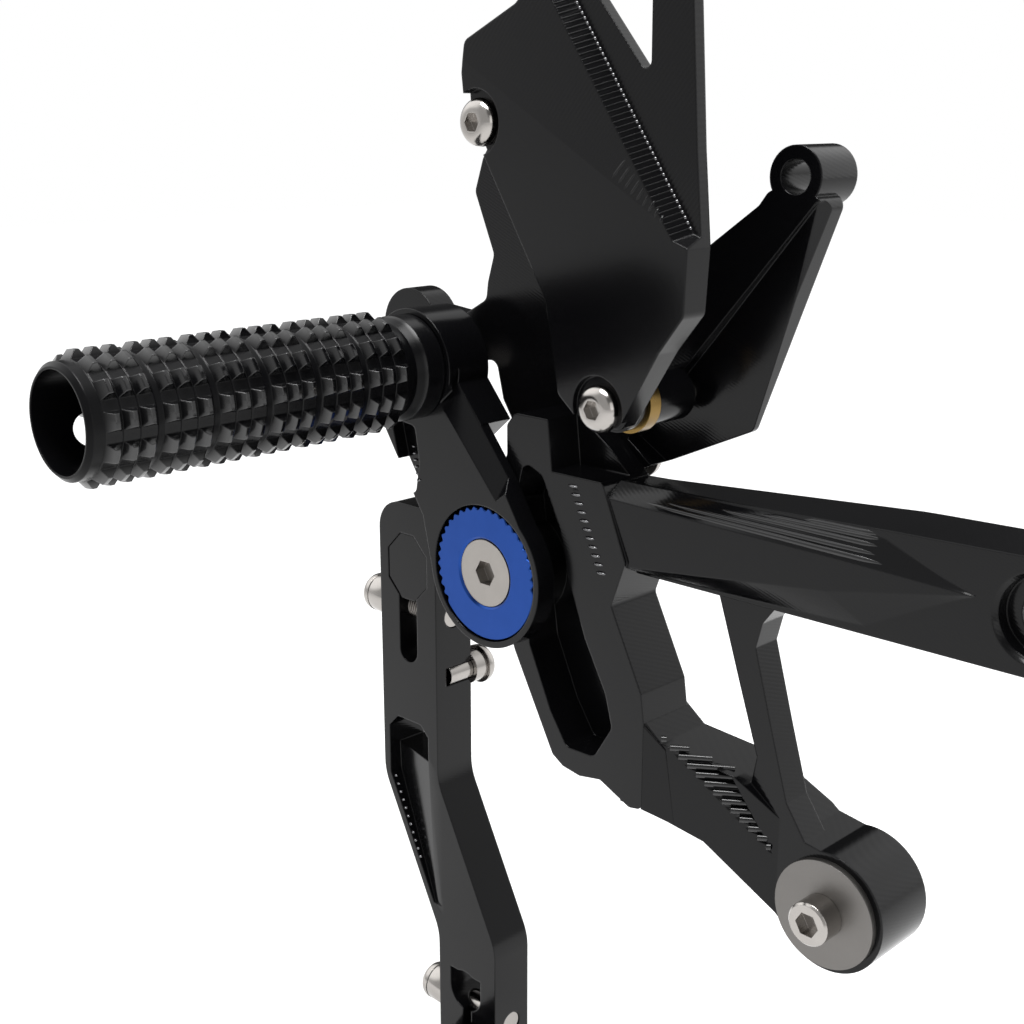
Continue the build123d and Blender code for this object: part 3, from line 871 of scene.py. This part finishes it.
def seenRay(tree, path):
    direct = joined(tree, path.outputs["Is Camera Ray"], path.outputs["Is Glossy Ray"])
    return joined(tree, direct, path.outputs["Is Transmission Ray"])


def studioWorld():
    world = bpy.data.worlds.new("studio")
    bpy.context.scene.world = world
    world.use_nodes = True
    tree = world.node_tree
    tree.nodes.clear()
    path = addNode(tree, "ShaderNodeLightPath")
    seen = addNode(tree, "ShaderNodeBackground", Color=(1, 1, 1, 1))
    glow = addNode(tree, "ShaderNodeBackground", Color=(1, 1, 1, 1), Strength=worldSet["light"])
    toward = addNode(tree, "ShaderNodeTexCoord").outputs["Generated"]
    level = None
    for card in worldSet["cards"]:
        part = cardGlow(tree, toward, card)
        level = part if level is None else joined(tree, level, part)
    unseen = addNode(tree, "ShaderNodeMath", operation="SUBTRACT")  # the camera sees no cards
    unseen.inputs[0].default_value = 1.0
    tree.links.new(path.outputs["Is Camera Ray"], unseen.inputs[1])
    white = addNode(tree, "ShaderNodeMath", operation="MULTIPLY_ADD")
    white.inputs[2].default_value = 1.0
    tree.links.new(level, white.inputs[0])
    tree.links.new(unseen.outputs[0], white.inputs[1])
    tree.links.new(white.outputs[0], seen.inputs["Strength"])
    mix = addNode(tree, "ShaderNodeMixShader")
    out = addNode(tree, "ShaderNodeOutputWorld")
    tree.links.new(seenRay(tree, path), mix.inputs[0])
    tree.links.new(glow.outputs[0], mix.inputs[1])
    tree.links.new(seen.outputs[0], mix.inputs[2])
    tree.links.new(mix.outputs[0], out.inputs[0])


def studioFloor():
    size = floorSet["size"]
    height = cadBox[0].z - floorSet["under"]
    corners = [(-size, -size, height), (size, -size, height), (size, size, height), (-size, size, height)]
    mesh = bpy.data.meshes.new("floor")
    mesh.from_pydata(corners, [], [(0, 1, 2, 3)])
    floor = linked("floor", mesh)
    material, tree, shader = newMaterial("floorPale")
    shader.inputs["Base Color"].default_value = (*floorSet["colour"], 1)
    shader.inputs["Roughness"].default_value = floorSet["roughness"]
    path = addNode(tree, "ShaderNodeLightPath")
    glow = addNode(tree, "ShaderNodeEmission", Color=(1, 1, 1, 1), Strength=floorSet["glow"])
    shaded = addNode(tree, "ShaderNodeBsdfDiffuse", Color=(*floorSet["shaded"], 1))  # keeps the shadow
    white = addNode(tree, "ShaderNodeAddShader")
    tree.links.new(glow.outputs[0], white.inputs[0])
    tree.links.new(shaded.outputs[0], white.inputs[1])
    mix = addNode(tree, "ShaderNodeMixShader")
    tree.links.new(seenRay(tree, path), mix.inputs[0])
    tree.links.new(shader.outputs[0], mix.inputs[1])
    tree.links.new(white.outputs[0], mix.inputs[2])
    tree.links.new(mix.outputs[0], tree.nodes["Material Output"].inputs["Surface"])
    mesh.materials.append(material)


def areaLight(name, settings):
    data = bpy.data.lights.new(name, "AREA")
    data.shape = "SQUARE"
    data.size = settings["size"]
    data.energy = settings["power"]
    light = linked(name, data)
    light.location = settings["place"]
    aim = Vector(settings["aim"]) - Vector(settings["place"])
    light.rotation_euler = aim.to_track_quat("-Z", "Y").to_euler()


def photoCamera(settings):
    data = bpy.data.cameras.new("camera")
    data.lens = settings["lens"]
    data.sensor_width = settings["sensor"]
    data.clip_start, data.clip_end = settings["clip"]
    camera = linked("camera", data)
    axes = Matrix((settings["right"], settings["up"], settings["back"])).transposed()
    camera.matrix_world = Matrix.Translation(Vector(settings["place"]) * mm) @ axes.to_4x4()
    bpy.context.scene.camera = camera


studioWorld()
studioFloor()
for lightName, lightValues in lightSet.items():
    areaLight(lightName, lightValues)
photoCamera(cameraSet)
bpy.context.scene.view_settings.view_transform = "Standard"
print("studio done")
